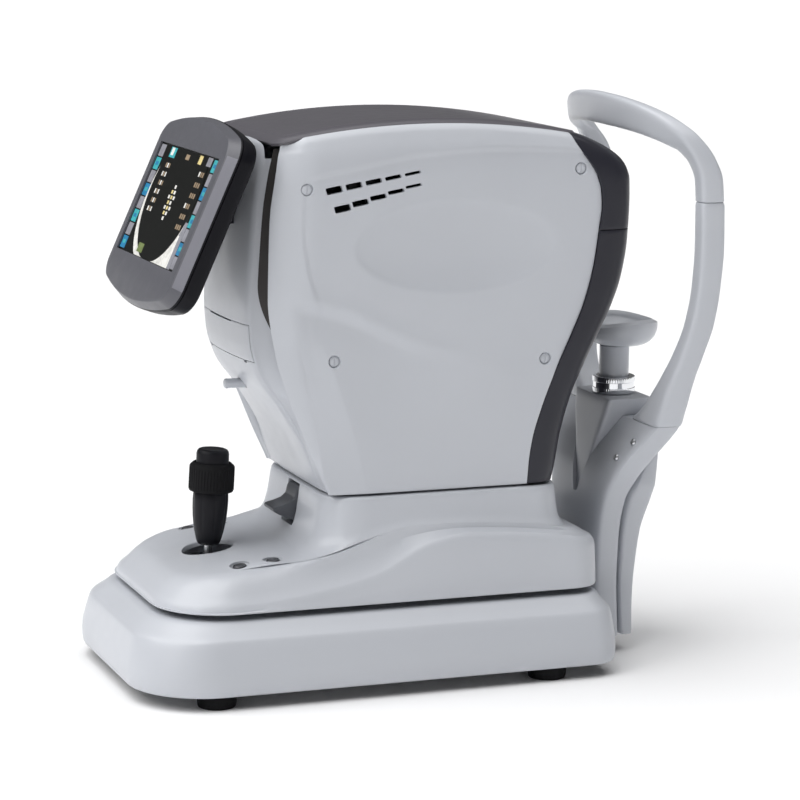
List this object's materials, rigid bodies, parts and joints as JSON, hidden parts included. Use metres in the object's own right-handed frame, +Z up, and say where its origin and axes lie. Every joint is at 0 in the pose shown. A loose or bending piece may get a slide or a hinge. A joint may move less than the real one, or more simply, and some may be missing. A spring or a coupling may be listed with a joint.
{
  "type": "autorefractor",
  "caption": "Table-top autorefractor: joystick stage on a low base, lifting optical head with tilting screen, chin and forehead rest.",
  "frame": {"origin": "middle of the footprint of the whole instrument, on the table under the feet", "axes": "+Z up, +Y from the operator to the patient, +X to the operator's right"},
  "size_m": [0.262, 0.506, 0.4841],
  "materials": {
    "white_shell": "fine satin moulded plastic",
    "graphite_shell": "satin dark grey moulded plastic",
    "monitor_grey": "satin grey moulded plastic",
    "black_plastic": "black moulded plastic",
    "dark_plastic": "dark grey key plastic",
    "rubber": "matt black rubber",
    "steel": "ground steel",
    "chrome": "polished chrome",
    "aluminium": "machined aluminium",
    "glass": "coated optical glass",
    "screen": "liquid crystal panel",
    "board": "circuit board",
    "paper": "paper roll"
  },
  "bodies": {
    "base": {"base_cover": "white_shell", "base_plate": "steel", "foot_front_right": "rubber", "foot_rear_right": "rubber", "foot_front_left": "rubber", "foot_rear_left": "rubber", "rack_right": "steel", "rack_left": "steel", "power_inlet": "black_plastic", "column_front": "white_shell", "column_rear": "white_shell", "chinrest_housing": "white_shell", "rest_arm_right": "white_shell", "rest_arm_left": "white_shell", "forehead_band": "white_shell", "forehead_pad": "white_shell"},
    "power_switch": {"power_switch": "black_plastic"},
    "chinrest_ring": {"chinrest_ring": "chrome"},
    "chin_rest": {"chin_post": "white_shell", "chin_cup": "white_shell"},
    "carriage": {"carriage_frame": "steel"},
    "cross_shaft": {"cross_shaft": "steel"},
    "stage": {"stage_slider": "aluminium", "stage_cover": "white_shell", "stage_chassis": "steel", "lift_motor": "black_plastic"},
    "lead_screw": {"lead_screw": "steel"},
    "joystick_yoke": {"joystick_yoke": "steel"},
    "joystick": {"joystick_shaft": "steel", "joystick_grip": "black_plastic"},
    "elevation_ring": {"elevation_ring": "rubber"},
    "measure_button": {"measure_button": "black_plastic"},
    "deck_button_left_front": {"deck_button_left_front": "dark_plastic"},
    "deck_button_left_rear": {"deck_button_left_rear": "dark_plastic"},
    "deck_button_right_front": {"deck_button_right_front": "dark_plastic"},
    "deck_button_right_rear": {"deck_button_right_rear": "dark_plastic"},
    "lock_lever": {"lock_lever": "dark_plastic"},
    "head": {"head_frame": "aluminium", "side_cover_right": "white_shell", "side_cover_left": "white_shell", "front_cover": "white_shell", "top_cover": "graphite_shell", "bezel_upper": "graphite_shell", "bezel_lower": "graphite_shell", "optical_tube": "black_plastic", "objective_lens": "glass", "measuring_window": "glass", "sensor_camera": "black_plastic", "main_board": "board", "printer_mechanism": "black_plastic", "monitor_bracket": "graphite_shell"},
    "printer_door": {"printer_door": "white_shell"},
    "release_button": {"release_button": "white_shell"},
    "platen_roller": {"platen_roller": "rubber"},
    "paper_roll": {"paper_roll": "paper"},
    "fan_rotor": {"fan_rotor": "black_plastic"},
    "monitor": {"monitor_bezel": "monitor_grey", "display_panel": "screen", "monitor_housing": "graphite_shell"}
  },
  "joints": [
    {"name": "stage_forward_back", "type": "slide", "parent": "base", "child": "carriage", "axis": [0, 1, 0], "range_m": [-0.034, 0.001]},
    {"name": "cross_shaft_spin", "type": "hinge", "parent": "carriage", "child": "cross_shaft", "pos_m": [0, -0.01, 0.053], "axis": [1, 0, 0], "range_deg": [-60, 330]},
    {"name": "stage_left_right", "type": "slide", "parent": "carriage", "child": "stage", "axis": [1, 0, 0], "range_m": [-0.043, 0.043]},
    {"name": "head_lift", "type": "slide", "parent": "stage", "child": "head", "axis": [0, 0, 1], "range_m": [0, 0.028]},
    {"name": "lead_screw_spin", "type": "hinge", "parent": "stage", "child": "lead_screw", "pos_m": [0, 0.03, 0.15], "axis": [0, 0, 1], "continuous": true},
    {"name": "joystick_forward_back", "type": "hinge", "parent": "stage", "child": "joystick_yoke", "pos_m": [0, -0.164, 0.086], "axis": [1, 0, 0], "range_deg": [-12, 10]},
    {"name": "joystick_side", "type": "hinge", "parent": "joystick_yoke", "child": "joystick", "pos_m": [0, -0.164, 0.086], "axis": [0, 0.9986, -0.0523], "range_deg": [-10, 10]},
    {"name": "elevation_ring_turn", "type": "hinge", "parent": "joystick", "child": "elevation_ring", "pos_m": [0, -0.15981, 0.16589], "axis": [0, 0.0523, 0.9986], "continuous": true},
    {"name": "measure_button_press", "type": "slide", "parent": "joystick", "child": "measure_button", "axis": [0, -0.0523, -0.9986], "range_m": [0, 0.002], "stiffness_N_per_m": 600, "springref_m": -0.0012},
    {"name": "deck_button_left_front_press", "type": "slide", "parent": "stage", "child": "deck_button_left_front", "axis": [0, 0, -1], "range_m": [0, 0.0015], "stiffness_N_per_m": 400, "springref_m": -0.001},
    {"name": "deck_button_left_rear_press", "type": "slide", "parent": "stage", "child": "deck_button_left_rear", "axis": [0, 0, -1], "range_m": [0, 0.0015], "stiffness_N_per_m": 400, "springref_m": -0.001},
    {"name": "deck_button_right_front_press", "type": "slide", "parent": "stage", "child": "deck_button_right_front", "axis": [0, 0, -1], "range_m": [0, 0.0015], "stiffness_N_per_m": 400, "springref_m": -0.001},
    {"name": "deck_button_right_rear_press", "type": "slide", "parent": "stage", "child": "deck_button_right_rear", "axis": [0, 0, -1], "range_m": [0, 0.0015], "stiffness_N_per_m": 400, "springref_m": -0.001},
    {"name": "lock_lever_turn", "type": "hinge", "parent": "stage", "child": "lock_lever", "pos_m": [0, -0.089, 0.1415], "axis": [1, 0, 0], "range_deg": [0, 12]},
    {"name": "power_switch_rock", "type": "hinge", "parent": "base", "child": "power_switch", "pos_m": [-0.123, 0.075, 0.03], "axis": [0, 1, 0], "range_deg": [-7, 7]},
    {"name": "chin_rest_height", "type": "slide", "parent": "base", "child": "chin_rest", "axis": [0, 0, 1], "range_m": [-0.023, 0.035]},
    {"name": "chinrest_ring_turn", "type": "hinge", "parent": "base", "child": "chinrest_ring", "pos_m": [0, 0.208, 0.228], "axis": [0, 0, 1], "continuous": true},
    {"name": "printer_door_open", "type": "hinge", "parent": "head", "child": "printer_door", "pos_m": [0, -0.1473, 0.272], "axis": [1, 0, 0], "range_deg": [0, 80]},
    {"name": "release_button_press", "type": "slide", "parent": "head", "child": "release_button", "axis": [0, 1, 0], "range_m": [0, 0.002], "stiffness_N_per_m": 400, "springref_m": -0.001},
    {"name": "platen_roller_spin", "type": "hinge", "parent": "head", "child": "platen_roller", "pos_m": [0, -0.1395, 0.316], "axis": [1, 0, 0], "continuous": true},
    {"name": "paper_roll_spin", "type": "hinge", "parent": "head", "child": "paper_roll", "pos_m": [0, -0.124, 0.2865], "axis": [1, 0, 0], "continuous": true},
    {"name": "fan_rotor_spin", "type": "hinge", "parent": "head", "child": "fan_rotor", "pos_m": [0.086, -0.055, 0.416], "axis": [1, 0, 0], "continuous": true},
    {"name": "monitor_tilt", "type": "hinge", "parent": "head", "child": "monitor", "pos_m": [0, -0.1534, 0.4093], "axis": [1, 0, 0], "range_deg": [-4, 20]}
  ],
  "couplings": [
    {"joint": "cross_shaft_spin", "follows": "stage_forward_back", "rad_per_m": -166.67},
    {"joint": "lead_screw_spin", "follows": "head_lift", "rad_per_m": 628.32},
    {"joint": "chinrest_ring_turn", "follows": "chin_rest_height", "rad_per_m": 785.4}
  ]
}
